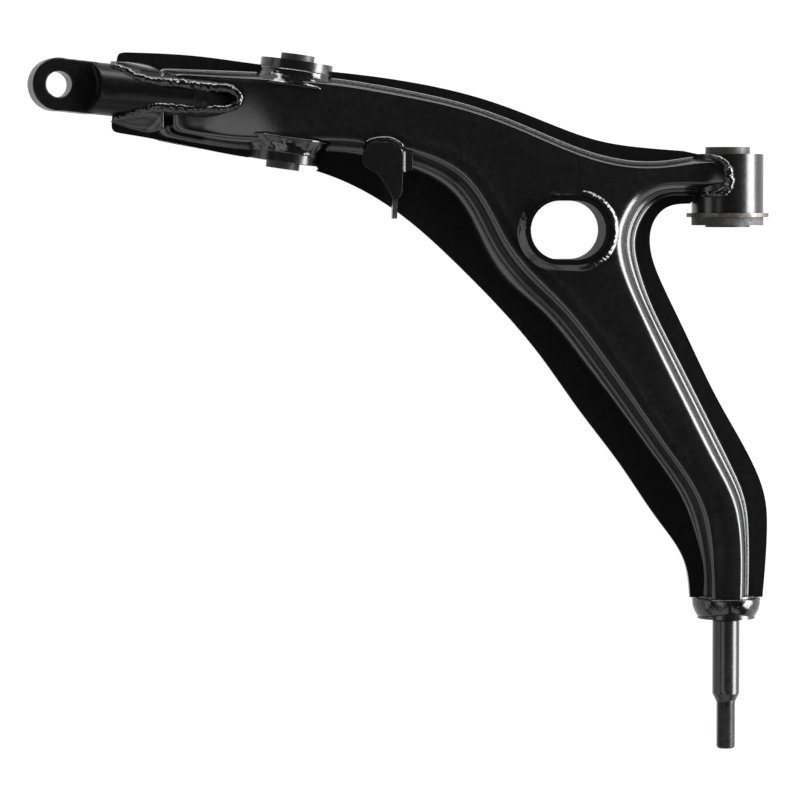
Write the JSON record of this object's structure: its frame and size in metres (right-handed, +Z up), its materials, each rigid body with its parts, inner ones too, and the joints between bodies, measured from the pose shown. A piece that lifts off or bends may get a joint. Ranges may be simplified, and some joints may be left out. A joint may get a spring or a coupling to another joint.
{
  "type": "control arm",
  "caption": "Black L-shaped pressed steel suspension control arm with a ball joint eye, a damper fork bush, a front pivot bush and a threaded rear pivot pin.",
  "frame": {"origin": "centre of the front bush, on the pivot axis", "axes": "+X inboard, away from the ball joint eye; +Y forward along the pivot axis through the front bush and the rear pin; +Z up"},
  "size_m": [0.453, 0.4273, 0.0506],
  "materials": {
    "black_coat": "gloss black electrophoretic coat on pressed and forged steel",
    "black_coat_weld": "gloss black coat over rippled weld beads",
    "bare_steel": "bare cold-drawn steel flange",
    "sleeve_steel": "dark phosphated steel sleeve",
    "bush_rubber": "matte black moulded rubber"
  },
  "bodies": {
    "arm": {"upper_shell": "black_coat", "lower_shell": "black_coat", "ball_joint_eye": "black_coat", "window_liner": "black_coat", "front_bush_housing": "black_coat", "front_bush_outer_sleeve": "bare_steel", "front_bush_rubber": "bush_rubber", "fork_bush_housing": "black_coat", "fork_bush_outer_sleeve": "sleeve_steel", "fork_bush_rubber": "bush_rubber", "rear_pin": "black_coat", "rear_pin_collar": "black_coat", "line_bracket": "black_coat", "eye_weld_upper": "black_coat_weld", "eye_weld_lower": "black_coat_weld", "fork_weld_forward": "black_coat_weld", "fork_weld_rearward": "black_coat_weld", "front_bush_weld_upper": "black_coat_weld", "front_bush_weld_lower": "black_coat_weld", "rear_pin_weld": "black_coat_weld", "window_weld_upper": "black_coat_weld", "window_weld_lower": "black_coat_weld", "bracket_weld": "black_coat_weld"},
    "front_bush_core": {"front_bush_inner_sleeve": "sleeve_steel"},
    "fork_bush_core": {"fork_bush_inner_sleeve": "sleeve_steel"}
  },
  "joints": [
    {"name": "front_bush_pivot", "type": "hinge", "parent": "arm", "child": "front_bush_core", "pos_m": [0, 0, 0], "axis": [0, 1, 0], "range_deg": [-20, 20], "stiffness_Nm_per_rad": 60},
    {"name": "fork_bush_pivot", "type": "hinge", "parent": "arm", "child": "fork_bush_core", "pos_m": [-0.268, 0.0436, 0], "axis": [0.1392, 0.9903, 0], "range_deg": [-15, 15], "stiffness_Nm_per_rad": 45}
  ]
}
